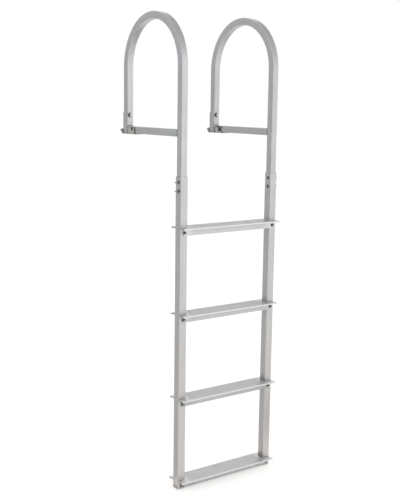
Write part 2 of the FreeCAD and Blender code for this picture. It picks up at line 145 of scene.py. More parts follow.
def rows_of(profile):
    """Rings of points about the Z axis, one for each (radius, height) of a profile."""
    rings = []
    for radius, height in profile:
        ring = []
        for step in range(ROUND_STEPS):
            angle = 2 * math.pi * step / ROUND_STEPS
            out = radius(angle) if callable(radius) else radius
            up = height(angle) if callable(height) else height
            ring.append(Vector((out * math.cos(angle), out * math.sin(angle), up)))
        rings.append(ring)
    return rings


def turned(mesh, profile):
    """Add a closed turned form to a bmesh, from its bottom ring to its top one.

    The top and the last sloped ring below it take the piece's second material.
    """
    rings = [[mesh.verts.new(point) for point in ring] for ring in rows_of(profile)]
    for turn, (lower, upper) in enumerate(zip(rings, rings[1:])):
        for step in range(ROUND_STEPS):
            after = (step + 1) % ROUND_STEPS
            face = mesh.faces.new((lower[step], lower[after], upper[after], upper[step]))
            face.material_index = 1 if turn == len(rings) - 2 else 0
    mesh.faces.new(reversed(rings[0]))
    mesh.faces.new(rings[-1]).material_index = 1


def ring_form(mesh, profile):
    """Add a turned ring to a bmesh: its profile is a closed loop away from the axis."""
    rings = [[mesh.verts.new(point) for point in ring] for ring in rows_of(profile)]
    for lower, upper in zip(rings, rings[1:] + rings[:1]):
        for step in range(ROUND_STEPS):
            after = (step + 1) % ROUND_STEPS
            mesh.faces.new((lower[step], lower[after], upper[after], upper[step]))


def hexagon(across_flats):
    """The radius of a hexagon as a function of the angle."""
    sixth = math.pi / 3

    def radius(angle):
        return across_flats / 2 / math.cos(angle % sixth - sixth / 2)

    return radius


def hex_head(mesh, across_flats, bottom, top, bottom_chamfer=False):
    """A hexagon whose corners are turned off at the top, and at the bottom if asked."""
    radius = hexagon(across_flats)
    flat = HEX_FLAT * across_flats

    def top_edge(angle):
        return top - (radius(angle) - flat) * CHAMFER_SLOPE

    def bottom_edge(angle):
        return bottom + (radius(angle) - flat) * CHAMFER_SLOPE

    profile = [(radius, top_edge), (flat, top)]
    if bottom_chamfer:
        profile = [(flat, bottom), (radius, bottom_edge), *profile]
    else:
        profile = [(radius, bottom), *profile]
    turned(mesh, profile)


def washer(mesh, hole, outside, top):
    """A flat washer with a small round on its rim."""
    edge = WASHER_ROUND * top
    ring_form(mesh, (
        (hole, 0.0),
        (outside - edge, 0.0),
        (outside, edge),
        (outside, top - edge),
        (outside - edge, top),
        (hole, top),
    ))


def thread(mesh, radius, bottom, top, pitch):
    """A threaded end: a turned form with one ridge for each turn, and a bevelled tip."""
    depth = THREAD_DEPTH * pitch
    profile = [(radius - depth, bottom)]
    height = bottom
    while height + THREAD_TIP_TURNS * pitch < top:
        profile.append((radius, height + pitch / 2))
        profile.append((radius - depth, height + pitch))
        height += pitch
    profile.append((radius - depth, top - depth / 2))
    profile.append((radius - THREAD_TIP_DEPTHS * depth, top))
    turned(mesh, profile)


def lay(mesh, place, direction, turn=0.0):
    """Turn a mesh about its Z axis, lay that axis along a direction and move it to a place."""
    swing = Vector(direction).to_track_quat("Z", "X").to_matrix().to_4x4()
    mesh.transform(Matrix.Translation(place) @ swing @ Matrix.Rotation(turn, 4, "Z"))


def finished(mesh, name, looks):
    """Make the piece from a mesh that is in place in the row's frame."""
    data = bpy.data.meshes.new(name)
    bmesh.ops.recalc_face_normals(mesh, faces=mesh.faces)
    mesh.to_mesh(data)
    mesh.free()
    data.shade_smooth()
    data.set_sharp_from_angle(angle=SHARP_ANGLE)
    piece = bpy.data.objects.new(name, data)
    bpy.context.scene.collection.objects.link(piece)
    for look in looks:
        data.materials.append(materials[look])
    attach(piece, LADDER)


class Shader:
    """A material whose nodes are made by short calls."""

    # Edges: samples, and the cosines of the rounding at which the edge marks (wear, painted
    # highlight and painted shade) begin and are full
    EDGE_SAMPLES = 4
    EDGE_TURN = (0.99, 0.8)
    # Corners: samples, and the open shares of the sky at which the corner marks (dirt, painted
    # shade and painted bounced light) are full and end
    OPEN_SAMPLES = 6
    OPEN_LEAST = 0.35
    OPEN_MOST = 0.9

    def __init__(self, name):
        self.material = bpy.data.materials.new(name)
        self.material.use_nodes = True
        self.tree = self.material.node_tree
        self.surface = self.tree.nodes["Principled BSDF"]
        self.place = self.add("TexCoord").outputs["Object"]

    def give(self, socket, value):
        """Link a socket to another one, or set it to a number or colour."""
        if isinstance(value, bpy.types.NodeSocket):
            self.tree.links.new(value, socket)
        else:
            socket.default_value = value

    def add(self, kind, values=(), **settings):
        """Make a node, change its settings, and give its sockets their values."""
        node = self.tree.nodes.new("ShaderNode" + kind)
        for name, value in settings.items():
            setattr(node, name, value)
        for socket, value in dict(values).items():
            self.give(node.inputs[socket], value)
        return node

    def calculate(self, operation, first, second=0.0, clamp=False):
        """The result of a sum on two values, held between 0 and 1 if clamped."""
        node = self.add("Math", {0: first, 1: second}, operation=operation, use_clamp=clamp)
        return node.outputs[0]

    def plus(self, first, second):
        return self.calculate("ADD", first, second)

    def minus(self, first, second):
        return self.calculate("SUBTRACT", first, second)

    def times(self, first, second):
        return self.calculate("MULTIPLY", first, second)

    def least(self, first, second):
        return self.calculate("MINIMUM", first, second)

    def most(self, first, second):
        return self.calculate("MAXIMUM", first, second)

    def under(self, value, limit):
        """1 where a value is less than a limit, and 0 elsewhere."""
        return self.calculate("LESS_THAN", value, limit)

    def over(self, value, limit):
        """1 where a value is more than a limit, and 0 elsewhere."""
        return self.calculate("GREATER_THAN", value, limit)

    def away(self, value, middle):
        """How far a value is from a middle, on either side."""
        return self.calculate("ABSOLUTE", self.minus(value, middle))

    def squares(self, first, second):
        """The sum of two values' squares."""
        return self.plus(self.times(first, first), self.times(second, second))

    def split(self, vector=None):
        """The X, Y and Z of a vector, or else of the place."""
        return self.add("SeparateXYZ", {0: vector or self.place}).outputs

    def noise(self, vector, scale, detail=2.0, roughness=0.5):
        """A soft noise, whose level stays about 0.5."""
        values = {"Vector": vector, "Scale": scale, "Detail": detail, "Roughness": roughness}
        return self.add("TexNoise", values).outputs["Fac"]

    def remap(self, value, low, high, to_low=0.0, to_high=1.0):
        """A value's range from low to high, spread from to_low to to_high and held there."""
        values = {0: value, 1: low, 2: high, 3: to_low, 4: to_high}
        return self.add("MapRange", values).outputs[0]

    def mix(self, factor, first, second):
        """The first colour where the factor is 0, and the second where it is 1."""
        node = self.add("Mix", data_type="RGBA")
        colours = [socket for socket in node.inputs if socket.type == "RGBA"]
        for socket, value in zip((node.inputs[0], *colours), (factor, first, second)):
            self.give(socket, value)
        return next(socket for socket in node.outputs if socket.type == "RGBA")

    def edges(self, radius):
        """How much an edge nearer than a radius rounds the surface, from 0 to 1."""
        rounded = self.add("Bevel", {"Radius": radius}, samples=self.EDGE_SAMPLES).outputs[0]
        true = self.add("NewGeometry").outputs["True Normal"]
        turn = self.add("VectorMath", {0: rounded, 1: true}, operation="DOT_PRODUCT")
        return self.remap(turn.outputs["Value"], *self.EDGE_TURN)

    def crevice(self, reach, open_most=OPEN_MOST):
        """How deep a spot lies in a corner or gap, from 0 in the open to 1."""
        sky = self.add("AmbientOcclusion", {"Distance": reach}, samples=self.OPEN_SAMPLES)
        return self.remap(sky.outputs["AO"], self.OPEN_LEAST, open_most, 1.0, 0.0)

    def edge_wear_and_light(self, colour, radius, share, edge_colour):
        """A colour that turns towards another one along its edges: rubbed metal on bolts and
        plugs, painted shade on the hinges.
        """
        return self.mix(self.times(self.edges(radius), share), colour, edge_colour)

    def dirty_and_shaded(self, colour, share):
        """A colour with dirt and painted shade in its corners."""
        return self.mix(self.times(self.crevice(CREVICE_REACH), share), colour, GRIME_AND_SHADE)

    def bump(self, height, distance, strength=0.3):
        """A normal that follows a height, whose full range is a distance in metres."""
        values = {"Height": height, "Distance": distance, "Strength": strength}
        return self.add("Bump", values).outputs[0]

    def finish(self, **inputs):
        """Set the surface's inputs, each by its name with _ for a space."""
        for name, value in inputs.items():
            self.give(self.surface.inputs[name.replace("_", " ")], value)
        return self.material


# What warmth takes from a grey's blue, as a share of what it gives to its red
BLUE_LOSS = 1.6


def grey(level, warmth=0.0):
    """A grey of one level, a little yellower with warmth, or bluer with less than none."""
    return (level * (1 + warmth), level, level * (1 - BLUE_LOSS * warmth), 1.0)


# Dirt with painted shade, and aluminium: the reach of dirt and painted shade in corners, the
# metal's greys, with rubbed edges that on the hoops are a painted highlight, its metalness, how
# far the die lines are drawn out, as the share of the length that their noise sees, what
# each noise adds to the tone, and the ranges of noise that the tone and roughness span
CREVICE_REACH = 0.006
# The dark colour of dirt and painted shade in corners, on the ribs and beside the treads
GRIME_AND_SHADE = grey(0.06, 0.03)
DARK_METAL = 0.50
LIGHT_METAL = 0.60
# Rubbed metal on the edges, and on the hoops a painted highlight along them
BARE_AND_HIGHLIGHT_METAL = grey(0.90)
SPOT_METAL = grey(0.40, 0.02)
METALNESS = 0.9
FINE_LENGTH = 0.012
BROAD_LENGTH = 0.03
FINE_SHARE = 0.55
CLOUD_SHARE = 0.6
TONE_RANGE = (0.55, 1.05)
SPOT_RANGE = (0.66, 0.74)
SPOT_SHARE = 0.25
ROUGH_RANGE = (0.6, 1.4)
SMOOTHEST, ROUGHEST = 0.34, 0.50
EDGE_RADIUS = 0.0011
EDGE_POLISH = 0.08
LINE_HEIGHT = 0.00002

# Treads: light that bounces between them and the stiles, how bright or dull their parts
# are, with a painted highlight on the nose and painted shade on the ribs, and the depths of
# those parts from the front edge, the ends and the tops. Depths from a top are counted from
# TOP_MARGIN above it, so that the top face is clear of 0
BOUNCE_REACH = 0.05
BOUNCE_RANGE = (0.018, 0.040)
BOUNCE_COLOUR = grey(0.95)
TOP_MARGIN = 0.0005
PLATE_DEPTH = 0.006
LIP_DEPTH = 0.003
# The tops of the upper treads are mixed a little towards the dark colour
UPPER_TOP_DARKENING = 0.14
# Painted shade on the ribs, growing down the ladder and strongest near the rib ends
RIB_SHADE = 0.2
RIB_END_SHADE = 0.55
RIB_END_RANGE = (0.02, 0.08)
NOSE_DEPTH = 0.0004
NOSE_HEIGHT = 0.0042
# Painted highlight along each tread's front edge
NOSE_HIGHLIGHT = grey(0.80)
SAWN_DEPTH = 0.0002
SAWN_COLOUR = grey(0.42)

# Stiles: a warmer, darker tone that grows down them, and painted shade beside the treads with its
# reach
# A warmer, darker tone that grows down the stiles
LOWER_TONE = 0.6
LOWER_TONE_COLOUR = (0.595, 0.56, 0.535, 1.0)
# Painted shade beside the treads on the stiles, deeper on their side faces
NEAR_SHADE = 0.8
NEAR_REACH = 0.007
NEAR_OPEN = 0.75
WIDE_REACH = 0.028

# Deck bars: their insides, from their middle line, with painted shade, and the outer wall's inner
# side, with a faint painted glow for the light that gets there
BORE_REACH = 0.0112
# Painted shade inside the deck bars
BORE_SHADE = grey(0.05)
OUTER_WALL = 0.005
# Painted light on the outer wall's inner side: a lighter colour and a faint glow
OUTER_WALL_LIGHT = grey(0.60)
BORE_PAINTED_GLOW = 0.06

# Hinges: painted shade in dark lines round the lock hole and along the inner ears
LOCK_HOLE = (-0.050, 0.0193)
LOCK_SHADE = 0.0062
INNER_EAR = 0.0140
EAR_ROOT = -0.0242
EAR_LINE = 0.0022
EAR_TOP_LINE = 0.0222
HINGE_SHADE_COLOUR = grey(0.09)

# Steel, welds and plastic: the skin's two tones, the range of noise that they span, and
# the smoothest and roughest spots, over the range that most of a noise's values are in
HINGE_TONES = (0.50, 0.51, 0.47, 1.0), (0.60, 0.61, 0.58, 1.0)
HINGE_RANGE = (0.35, 0.65)
HINGE_ROUGH = (0.38, 0.55)
BOLT_ROUGH = (0.25, 0.42)
WELD_TONES = grey(0.34), grey(0.16)
WELD_RANGE = (0.4, 0.7)
WELD_ROUGH = (0.28, 0.5)
PLASTIC_TONES = grey(0.46), grey(0.54)
PLASTIC_RANGE = (0.35, 0.7)
PLASTIC_ROUGH = (0.45, 0.65)
NOISE_RANGE = (0.3, 0.7)


def aluminium(name, across, along, grime_and_shade, edge_wear_and_highlight, gain=1.0, warmth=0.0, rough_more=0.0,
              base_marks=None, marks=None):
    """Satin extruded aluminium: die lines along the section, soft clouds, rubbed edges, and on
    the hoops a painted highlight along the edges.

    across gives the two sockets that run over the section, and along is the index of the
    axis that runs down it. The next two give the share of dirt and painted shade in the
    corners, and that of rubbed metal on the edges, which on the hoops is a painted highlight.
    base_marks recolours the body and marks the finished surface.
    """
    shader = Shader(name)
    first, second = across(shader)
    length = shader.split()[along]

    def die_lines(share, scale, detail):
        vector = {0: first, 1: second, 2: shader.times(length, share)}
        return shader.noise(shader.add("CombineXYZ", vector).outputs[0], scale, detail)

    fine = shader.times(die_lines(FINE_LENGTH, scale=900.0, detail=3.0), FINE_SHARE)
    broad = shader.times(die_lines(BROAD_LENGTH, scale=190.0, detail=2.0), 1 - FINE_SHARE)
    lines = shader.plus(fine, broad)
    clouds = shader.noise(shader.place, scale=14.0, detail=4.0, roughness=0.6)
    specks = shader.noise(shader.place, scale=420.0, roughness=0.6)
    tone = shader.remap(shader.plus(lines, shader.times(clouds, CLOUD_SHARE)), *TONE_RANGE)
    body = shader.mix(tone, grey(gain * DARK_METAL, warmth), grey(gain * LIGHT_METAL, warmth))
    body = shader.mix(shader.remap(specks, *SPOT_RANGE, 0.0, SPOT_SHARE), body, SPOT_METAL)
    if base_marks:
        body = base_marks(shader, body)
    # Rubbed edges, and on the hoops a painted highlight along the edges
    edge_wear_and_light = shader.edges(EDGE_RADIUS)
    colour = shader.mix(shader.times(edge_wear_and_light, edge_wear_and_highlight), body, BARE_AND_HIGHLIGHT_METAL)
    # Dirt and painted shade in the corners, where less sky reaches
    colour = shader.dirty_and_shaded(colour, grime_and_shade)
    metal = METALNESS
    if marks:
        colour, metal = marks(shader, colour)
    rough = shader.remap(shader.plus(lines, clouds), *ROUGH_RANGE,
                         SMOOTHEST + rough_more, ROUGHEST + rough_more)
    rough = shader.minus(rough, shader.times(edge_wear_and_light, EDGE_POLISH))
    return shader.finish(Metallic=metal, Base_Color=colour, Roughness=rough,
                         Normal=shader.bump(lines, LINE_HEIGHT))


def over_axes(first, second):
    """The section of a straight piece, over two of the axes."""
    def section(shader):
        place = shader.split()
        return place[first], place[second]

    return section


def hoop_section(shader):
    """Across a hoop: X, and the distance from the middle line of its legs and bend."""
    x, y, z = shader.split()
    rise = shader.most(shader.minus(z, hoop_spring), 0.0)
    square = shader.squares(shader.minus(y, hoop_middle), rise)
    return x, shader.calculate("SQRT", square)


def tread_bounce(shader, body):
    """Lighten a tread round the stiles, where light bounces between the bright faces."""
    x = shader.split()[0]
    middles = [(low.x + high.x) / 2 for low, high in stile_box.values()]
    off_stile = shader.least(*(shader.away(x, middle) for middle in middles))
    near = shader.remap(off_stile, *BOUNCE_RANGE, 1.0, 0.0)
    return shader.mix(shader.times(shader.crevice(BOUNCE_REACH), near), body, BOUNCE_COLOUR)


def tread_marks(shader, colour):
    """A tread's parts: a top that is darker on the upper treads, ribs with painted shade that
    grows on the lower treads and at their ends, a nose with a painted highlight, and sawn ends."""
    x, y, z = shader.split()
    low, high = top_tread
    below_top = shader.minus(high.z + TOP_MARGIN, z)
    below_top = shader.calculate("FLOORED_MODULO", below_top, tread_pitch)
    below_plate = shader.over(below_top, PLATE_DEPTH + TOP_MARGIN)
    depth = shader.remap(z, low.z, bottom_tread[1].z)
    # Darker tops towards the top of the ladder
    upper_darkening = shader.times(shader.minus(1.0, depth), UPPER_TOP_DARKENING)
    behind_lip = shader.over(y, low.y + LIP_DEPTH)
    on_plate = shader.calculate("SUBTRACT", behind_lip, below_plate, clamp=True)
    colour = shader.mix(shader.times(upper_darkening, on_plate), colour, GRIME_AND_SHADE)
    # Painted shade on the ribs, more on the lower treads and near the rib ends
    inward = shader.least(shader.minus(x, low.x), shader.minus(high.x, x))
    rib_shade = shader.remap(inward, *RIB_END_RANGE, RIB_END_SHADE, RIB_SHADE)
    rib_shade_share = shader.times(depth, rib_shade)
    colour = shader.mix(shader.times(rib_shade_share, below_plate), colour, GRIME_AND_SHADE)
    # Painted highlight along the tread's front edge
    front = shader.under(y, low.y + NOSE_DEPTH)
    upper = shader.under(below_top, NOSE_HEIGHT + TOP_MARGIN)
    colour = shader.mix(shader.times(front, upper), colour, NOSE_HIGHLIGHT)
    ends = shader.plus(shader.under(x, low.x + SAWN_DEPTH), shader.over(x, high.x - SAWN_DEPTH))
    return shader.mix(ends, colour, SAWN_COLOUR), METALNESS


def stile_marks(shader, colour):
    """A warmer, darker tone, and painted shade beside the treads, both growing down the stiles.
    """
    z = shader.split()[2]
    depth = shader.remap(z, top_tread[1].z, bottom_tread[1].z)
    colour = shader.mix(shader.times(depth, LOWER_TONE), colour, LOWER_TONE_COLOUR)
    # Painted shade beside the treads, growing down the stiles and deeper on the side faces
    share = shader.times(depth, shader.over(z, bottom_tread[0].z))
    normal = shader.split(shader.add("NewGeometry").outputs["True Normal"])
    sideways = shader.times(shader.calculate("ABSOLUTE", normal[0]), share)
    near = shader.times(shader.crevice(NEAR_REACH, NEAR_OPEN), shader.times(share, NEAR_SHADE))
    wide = shader.times(shader.crevice(WIDE_REACH), sideways)
    return shader.mix(shader.most(near, wide), colour, GRIME_AND_SHADE), METALNESS


def bar_marks(shader, colour):
    """Painted shade inside a deck bar, seen through its lock hole and window, and a painted glow
    and lighter colour on its outer wall's inner side, for the light that reaches it."""
    x, _, z = shader.split()
    off_middle = shader.least(*(shader.away(x, middle.x) for middle in bar_middle.values()))
    height = shader.away(z, bar_middle["left"].z)
    inside = shader.under(shader.most(off_middle, height), BORE_REACH)
    # Painted shade inside the bar
    colour = shader.mix(inside, colour, BORE_SHADE)
    outward = shader.over(shader.away(x, ladder_middle), half_spacing + OUTER_WALL)
    outer_wall = shader.times(inside, outward)
    # Painted light: the outer wall's inner side glows faintly, is lighter and is not metal
    shader.finish(Emission_Color=grey(1.0),
                  Emission_Strength=shader.times(outer_wall, BORE_PAINTED_GLOW))
    metal = shader.remap(outer_wall, 0.0, 1.0, METALNESS, 0.0)
    return shader.mix(outer_wall, colour, OUTER_WALL_LIGHT), metal


def hinge_shade_lines(shader):
    """A hinge's lines of painted shade: round the lock hole, and along the inner ear's top and
    root.
    """
    x, y, z = shader.split()
    across, up = LOCK_HOLE
    off_hole = shader.squares(shader.minus(y, across), shader.minus(z, up))
    ring = shader.under(off_hole, LOCK_SHADE ** 2)
    inner_ear = shader.under(shader.away(x, ladder_middle), half_spacing - INNER_EAR)
    root = shader.under(shader.away(y, EAR_ROOT), EAR_LINE)
    in_front = shader.under(y, EAR_ROOT + EAR_LINE)
    top = shader.times(in_front, shader.over(z, EAR_TOP_LINE))
    return shader.most(ring, shader.times(inner_ear, shader.most(root, top)))


def dull_steel():
    """Hinge plates: rolled stainless steel with a mottled, slightly green-grey skin, with painted
    shade on its edges, in its corners and in dark lines.
    """
    shader = Shader("dull_steel")
    mottle = shader.noise(shader.place, scale=70.0, detail=5.0, roughness=0.6)
    grain = shader.noise(shader.place, scale=1500.0)
    body = shader.mix(shader.remap(mottle, *HINGE_RANGE), *HINGE_TONES)
    # Painted shade: the edges turn almost black, and the corners darken where less sky reaches
    # them
    colour = shader.edge_wear_and_light(body, radius=0.0022, share=0.9, edge_colour=grey(0.08))
    colour = shader.dirty_and_shaded(colour, share=0.5)
    # Painted shade in dark lines round the lock hole and along the inner ear
    colour = shader.mix(hinge_shade_lines(shader), colour, HINGE_SHADE_COLOUR)
    rough = shader.remap(mottle, *NOISE_RANGE, *HINGE_ROUGH)
    return shader.finish(Metallic=0.85, Base_Color=colour, Roughness=rough,
                         Normal=shader.bump(grain, distance=0.00004))


def bolt_steel(name, dark, light, edge):
    """Bolts, nuts and pins: turned stainless steel, smoother than the hinges."""
    shader = Shader(name)
    mottle = shader.noise(shader.place, scale=180.0, detail=3.0)
    grain = shader.noise(shader.place, scale=2600.0)
    body = shader.mix(mottle, grey(dark, warmth=0.01), grey(light, warmth=0.01))
    colour = shader.edge_wear_and_light(body, radius=0.0004, share=0.7, edge_colour=grey(edge))
    rough = shader.remap(mottle, *NOISE_RANGE, *BOLT_ROUGH)
    return shader.finish(Metallic=0.95, Base_Color=colour, Roughness=rough,
                         Normal=shader.bump(grain, distance=0.00002))


def weld_metal():
    """Weld beads: bright rippled aluminium with a little soot beside the ripples."""
    shader = Shader("weld_metal")
    soot = shader.noise(shader.place, scale=260.0, detail=4.0, roughness=0.6)
    body = shader.mix(shader.remap(soot, *WELD_RANGE), *WELD_TONES)
    rough = shader.remap(soot, *NOISE_RANGE, *WELD_ROUGH)
    return shader.finish(Metallic=0.9, Base_Color=body, Roughness=rough,
                         Normal=shader.bump(soot, distance=0.00008))


def moulded_plastic():
    """Foot plugs: grey moulded plastic with a fine matt grain and scuffed edges."""
    shader = Shader("moulded_plastic")
    grain = shader.noise(shader.place, scale=2200.0)
    scuffs = shader.noise(shader.place, scale=90.0, detail=4.0, roughness=0.65)
    body = shader.mix(shader.remap(scuffs, *PLASTIC_RANGE), *PLASTIC_TONES)
    colour = shader.edge_wear_and_light(body, radius=0.001, share=0.5, edge_colour=grey(0.60))
    rough = shader.remap(scuffs, *NOISE_RANGE, *PLASTIC_ROUGH)
    return shader.finish(Base_Color=colour, Roughness=rough,
                         Normal=shader.bump(grain, distance=0.00005, strength=0.4))


X_AXIS, Y_AXIS, Z_AXIS = range(3)
materials = {
    "stile": aluminium("stile_aluminium", over_axes(X_AXIS, Y_AXIS), Z_AXIS,
                       grime_and_shade=0.1, edge_wear_and_highlight=0.34, marks=stile_marks),
    "handrail_hoop": aluminium("hoop_aluminium", hoop_section, Z_AXIS,
                               grime_and_shade=0.4, edge_wear_and_highlight=0.9, warmth=-0.01),
    "deck_bar": aluminium("bar_aluminium", over_axes(X_AXIS, Z_AXIS), Y_AXIS,
                          grime_and_shade=0.9, edge_wear_and_highlight=0.34, warmth=-0.01, marks=bar_marks),
    "tread": aluminium("tread_aluminium", over_axes(Y_AXIS, Z_AXIS), X_AXIS,
                       grime_and_shade=0.1, edge_wear_and_highlight=0.34, gain=1.10, rough_more=0.09,
                       base_marks=tread_bounce, marks=tread_marks),
    "hinge": dull_steel(),
    # One stainless steel in darker and lighter copies: fasteners take darker ones on their sides
    # and washers and lighter ones on their tops, painted shade and painted light
    "steel": bolt_steel("bolt_steel", dark=0.42, light=0.52, edge=0.6),
    "shaded_steel": bolt_steel("shaded_bolt_steel", dark=0.22, light=0.3, edge=0.36),
    "dark_steel": bolt_steel("dark_bolt_steel", dark=0.07, light=0.11, edge=0.18),
    "screw_steel": bolt_steel("screw_steel", dark=0.16, light=0.22, edge=0.3),
    "bright_steel": bolt_steel("bright_bolt_steel", dark=0.58, light=0.66, edge=0.7),
    "weld": weld_metal(),
    "plug": moulded_plastic(),
}
LOOKS = {
    "stile": "stile",
    "handrail_hoop": "handrail_hoop",
    "deck_bar": "deck_bar",
    "foot_plug": "plug",
    "leg_leaf": "hinge",
    "deck_base": "hinge",
    "hinge_pin": "steel",
}


def dress(node, look):
    """Give a CAD node its own material."""
    for slot in nodes[node].material_slots:
        slot.material = materials[look]


for side in SIDES:
    for piece, look in LOOKS.items():
        dress("%s_%s" % (side, piece), look)
for number in range(1, TREADS + 1):
    dress("tread_%d" % number, "tread")


def splice_bolt(name, outer_face, inner_face, outward, height):
    """A bolt through a stile and the hoop in it: its head inside, its nut outside."""
    inside, outside = (Vector((face, stile_middle, height)) for face in (inner_face, outer_face))
    head = bmesh.new()
    washer(head, SPLICE_WASHER_HOLE, SPLICE_WASHER_RADIUS, SPLICE_FLANGE)
    hex_head(head, SPLICE_FLATS, SPLICE_FLANGE, SPLICE_HEAD_TOP)
    lay(head, inside, (-outward, 0, 0), turn=0.3)
    finished(head, name + "_head", ("dark_steel", "steel"))
    rim = bmesh.new()
    washer(rim, SPLICE_WASHER_HOLE, SPLICE_WASHER_RADIUS, SPLICE_WASHER)
    lay(rim, outside, (outward, 0, 0))
    finished(rim, name + "_washer", ("shaded_steel", "steel"))
    nut = bmesh.new()
    hex_head(nut, SPLICE_FLATS, SPLICE_WASHER, SPLICE_NUT_TOP, bottom_chamfer=True)
    lay(nut, outside, (outward, 0, 0), turn=0.1)
    finished(nut, name + "_nut", ("shaded_steel", "bright_steel"))
    end = bmesh.new()
    thread(end, SPLICE_END_RADIUS, SPLICE_END_BOTTOM, SPLICE_END_TOP, SPLICE_THREAD_PITCH)
    lay(end, outside, (outward, 0, 0))
    finished(end, name + "_end", ("steel", "bright_steel"))


def leaf_bolt(name, front_face, back_face, across):
    """A bolt through the short leg and the leaf: nut and bright end in front, head behind."""
    front, back = (Vector((across, face, LEAF_BOLT_HEIGHT)) for face in (front_face, back_face))
    nut = bmesh.new()
    hex_head(nut, LEAF_FLATS, 0.0, LEAF_NUT_TOP, bottom_chamfer=True)
    lay(nut, front, (0, -1, 0), turn=0.35)
    finished(nut, name + "_nut", ("dark_steel", "bright_steel"))
    end = bmesh.new()
    turned(end, LEAF_END)
    lay(end, front, (0, -1, 0))
    finished(end, name + "_end", ("bright_steel", "bright_steel"))
    head = bmesh.new()
    hex_head(head, LEAF_FLATS, 0.0, LEAF_HEAD_TOP)
    lay(head, back, (0, 1, 0), turn=0.2)
    finished(head, name + "_head", ("dark_steel", "steel"))


def tread_screw(name, across, front, height):
    """A self-drilling screw in a tread's front rib: a hexagon head on a dark washer."""
    head = bmesh.new()
    washer(head, SCREW_WASHER_HOLE, SCREW_WASHER_RADIUS, SCREW_WASHER)
    hex_head(head, SCREW_FLATS, SCREW_WASHER, SCREW_HEAD_TOP)
    lay(head, Vector((across, front, height)), (0, -1, 0), turn=0.45)
    finished(head, name, ("dark_steel", "screw_steel"))


def fillet_section():
    """A weld in a corner: a bulging quarter round, in metres along its two walls."""
    points = [(-WELD_ROOT, -WELD_ROOT)]
    for step in range(FILLET_STEPS + 1):
        angle = math.pi / 2 * step / FILLET_STEPS
        swell = FILLET_WAIST + (1 - FILLET_WAIST) * abs(math.cos(2 * angle))
        reach = WELD_SIZE * swell
        points.append((reach * math.cos(angle), reach * math.sin(angle)))
    return points


def flush_section():
    """A weld over a flush seam: a low crown, in metres across the seam and out of it."""
    points = [(-WELD_SIZE, -WELD_ROOT), (WELD_SIZE, -WELD_ROOT)]
    for step in range(CROWN_STEPS + 1):
        angle = math.pi * step / CROWN_STEPS
        points.append((WELD_SIZE * math.cos(angle), WELD_CROWN * math.sin(angle)))
    return points


def weld_run(mesh, section, begin, end, across, out):
    """A rippled bead from begin to end, whose section is laid along two directions."""
    run = end - begin
    count = round(run.length / WELD_RIPPLE * WELD_RINGS)
    rings = []
    for step in range(count + 1):
        share = step / count
        taper = min(1.0, WELD_TAPER * share + WELD_TIP, WELD_TAPER * (1 - share) + WELD_TIP)
        ripple = 1.0 + WELD_SWELL * math.sin(2 * math.pi * share * run.length / WELD_RIPPLE)
        size = taper * ripple
        centre = begin + run * share
        rings.append([mesh.verts.new(centre + size * (u * across + v * out)) for u, v in section])
    for first, second in zip(rings, rings[1:]):
        for corner in range(len(section)):
            after = (corner + 1) % len(section)
            mesh.faces.new((first[corner], first[after], second[after], second[corner]))
    mesh.faces.new(rings[0])
    mesh.faces.new(reversed(rings[-1]))


def bar_weld(name, side, face, toward_bar, with_bottom):
    """The weld round a deck bar's end: crowns on its flush sides, a fillet above, and one below
    if asked.
    """
    low, high = bar_box[side]
    along = Vector((0, toward_bar, 0))
    right, up = Vector((1, 0, 0)), Vector((0, 0, 1))
    bead = bmesh.new()
    for edge, out in ((low.x, -right), (high.x, right)):
        begin = Vector((edge, face, low.z + WELD_INSET))
        end = Vector((edge, face, high.z - WELD_INSET))
        weld_run(bead, flush_section(), begin, end, along, out)
    levels = [(high.z, up)]
    if with_bottom:
        levels.append((low.z, -up))
    for edge, out in levels:
        begin = Vector((low.x + WELD_INSET, face, edge))
        end = Vector((high.x - WELD_INSET, face, edge))
        weld_run(bead, fillet_section(), begin, end, along, out)
    finished(bead, name, ("weld",))


for side, outward in zip(SIDES, (-1, 1)):
    stile_low, stile_high = stile_box[side]
    outer = stile_low.x if outward < 0 else stile_high.x
    inner = stile_high.x if outward < 0 else stile_low.x
    for level, drop in zip(("upper", "lower"), SPLICE_DROPS):
        name = "%s_splice_bolt_%s" % (side, level)
        splice_bolt(name, outer, inner, outward, stile_high.z - drop)
    leaf_front = leaf_box[side][0].y
    leg_side = hoop_box[side][1].x - hoop_box[side][0].x
    leaf_bolt(side + "_leaf_bolt", leaf_front - leg_side, leaf_front + LEAF_THICKNESS,
              (stile_low.x + stile_high.x) / 2)
    for number, (_, tread_high) in enumerate(tread_box, start=1):
        tread_screw("tread_%d_%s_screw" % (number, side), inner + outward * TREAD_SCREW_INSET,
                    stile_middle - TREAD_RIB_SEAT, tread_high.z - TREAD_SCREW_DROP)
    bar_low, bar_high = bar_box[side]
    bar_weld(side + "_leg_weld", side, bar_high.y, -1, False)
    bar_weld(side + "_hoop_weld", side, bar_low.y, 1, True)


# Studio: a pale floor under the feet, a white surround, soft lamps, and cards that stand
# round the ladder for its metal to reflect
FLOOR_COLOUR = (0.72, 0.70, 0.67, 1.0)
FLOOR_REACH = 30.0
FLOOR_LIFT = 0.5
SURROUND_LIGHT = 0.75
SURROUND_COLOUR = (1.0, 1.01, 1.025, 1.0)
LAMP_TARGET = (0.2, -0.25, -0.4)
# Each lamp's place, width, height and power
LAMPS = {
    "key_lamp": ((1.0, -6.0, 1.0), 3.0, 3.0, 50.0),
    "back_lamp": ((2.6, 3.2, 1.6), 3.0, 2.0, 20.0),
}
